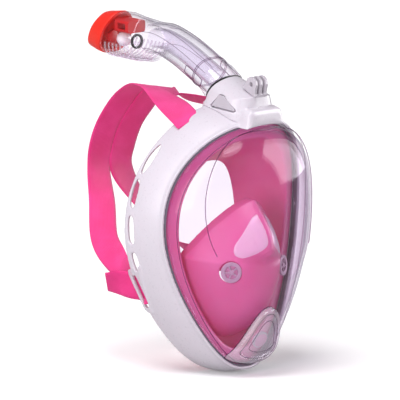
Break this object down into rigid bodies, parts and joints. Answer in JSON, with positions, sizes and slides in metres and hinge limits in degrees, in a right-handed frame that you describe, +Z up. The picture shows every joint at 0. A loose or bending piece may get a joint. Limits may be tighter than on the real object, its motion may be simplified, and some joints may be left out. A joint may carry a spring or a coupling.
{
  "type": "full face snorkel mask",
  "caption": "Full face snorkelling mask: clear domed lens in a pale frame, silicone skirt and nose cup with check valves, elastic head harness, pull-off dry-top snorkel and action camera mount",
  "frame": {"origin": "middle of the skirt's face opening, where the wearer's face rests (mount head)", "axes": "+X to the wearer's left, +Y to the back of the head, +Z up; the lens faces -Y"},
  "size_m": [0.1976, 0.2718, 0.3261],
  "materials": {
    "white_shell": "satin",
    "clear_shell": "clear",
    "silicone": "soft satin",
    "black_seal": "matt",
    "grey_valve": "satin",
    "clear_silicone": "translucent",
    "red_plastic": "gloss",
    "orange_plastic": "gloss",
    "ball": "gloss",
    "webbing": "elastic weave"
  },
  "bodies": {
    "mask": {"adapter_block": "white_shell", "camera_mount": "white_shell", "chin_valve_cover": "clear_shell", "chin_valve_seat": "white_shell", "face_skirt": "silicone", "inhale_valve_seat_left": "grey_valve", "inhale_valve_seat_right": "grey_valve", "lens": "clear_shell", "lens_seal": "black_seal", "main_frame": "white_shell", "nose_cup": "silicone", "skirt_retainer": "white_shell", "strap_back_panel": "webbing", "strap_lower_left": "webbing", "strap_lower_right": "webbing", "strap_upper_left": "webbing", "strap_upper_right": "webbing"},
    "snorkel": {"snorkel_tube": "clear_shell", "inner_duct": "clear_shell", "tube_collar": "clear_shell", "socket_oring": "black_seal", "latch_tongue_right": "clear_shell", "latch_tongue_left": "clear_shell", "chamber_neck": "clear_shell", "float_ring_seal": "black_seal", "float_chamber": "clear_shell", "valve_box": "red_plastic", "float_seal": "red_plastic", "float_guide_right": "clear_shell", "float_guide_left": "clear_shell", "top_cap": "orange_plastic"},
    "float_ball": {"float_ball": "ball"},
    "release_button_right": {"release_button_right": "white_shell"},
    "release_button_left": {"release_button_left": "white_shell"},
    "inhale_flap_right": {"inhale_flap_right": "clear_silicone"},
    "inhale_flap_left": {"inhale_flap_left": "clear_silicone"},
    "chin_valve_flap": {"chin_valve_flap": "clear_silicone"}
  },
  "joints": [
    {"name": "snorkel_pull", "type": "slide", "parent": "mask", "child": "snorkel", "axis": [0, 0.766, 0.6428], "range_m": [0, 0.03]},
    {"name": "float_travel", "type": "slide", "parent": "snorkel", "child": "float_ball", "axis": [0, 1, 0], "range_m": [-0.004, 0.0062]},
    {"name": "button_right_press", "type": "slide", "parent": "mask", "child": "release_button_right", "axis": [1, 0, 0], "range_m": [0, 0.0015], "stiffness_N_per_m": 800},
    {"name": "button_left_press", "type": "slide", "parent": "mask", "child": "release_button_left", "axis": [-1, 0, 0], "range_m": [0, 0.0015], "stiffness_N_per_m": 800},
    {"name": "inhale_right_lift", "type": "slide", "parent": "mask", "child": "inhale_flap_right", "axis": [0.502, 0.8634, -0.0502], "range_m": [0, 0.0012], "stiffness_N_per_m": 60},
    {"name": "inhale_left_lift", "type": "slide", "parent": "mask", "child": "inhale_flap_left", "axis": [-0.502, 0.8634, -0.0502], "range_m": [0, 0.0012], "stiffness_N_per_m": 60},
    {"name": "exhale_lift", "type": "slide", "parent": "mask", "child": "chin_valve_flap", "axis": [0, -0.9144, -0.4048], "range_m": [0, 0.0012], "stiffness_N_per_m": 60}
  ]
}
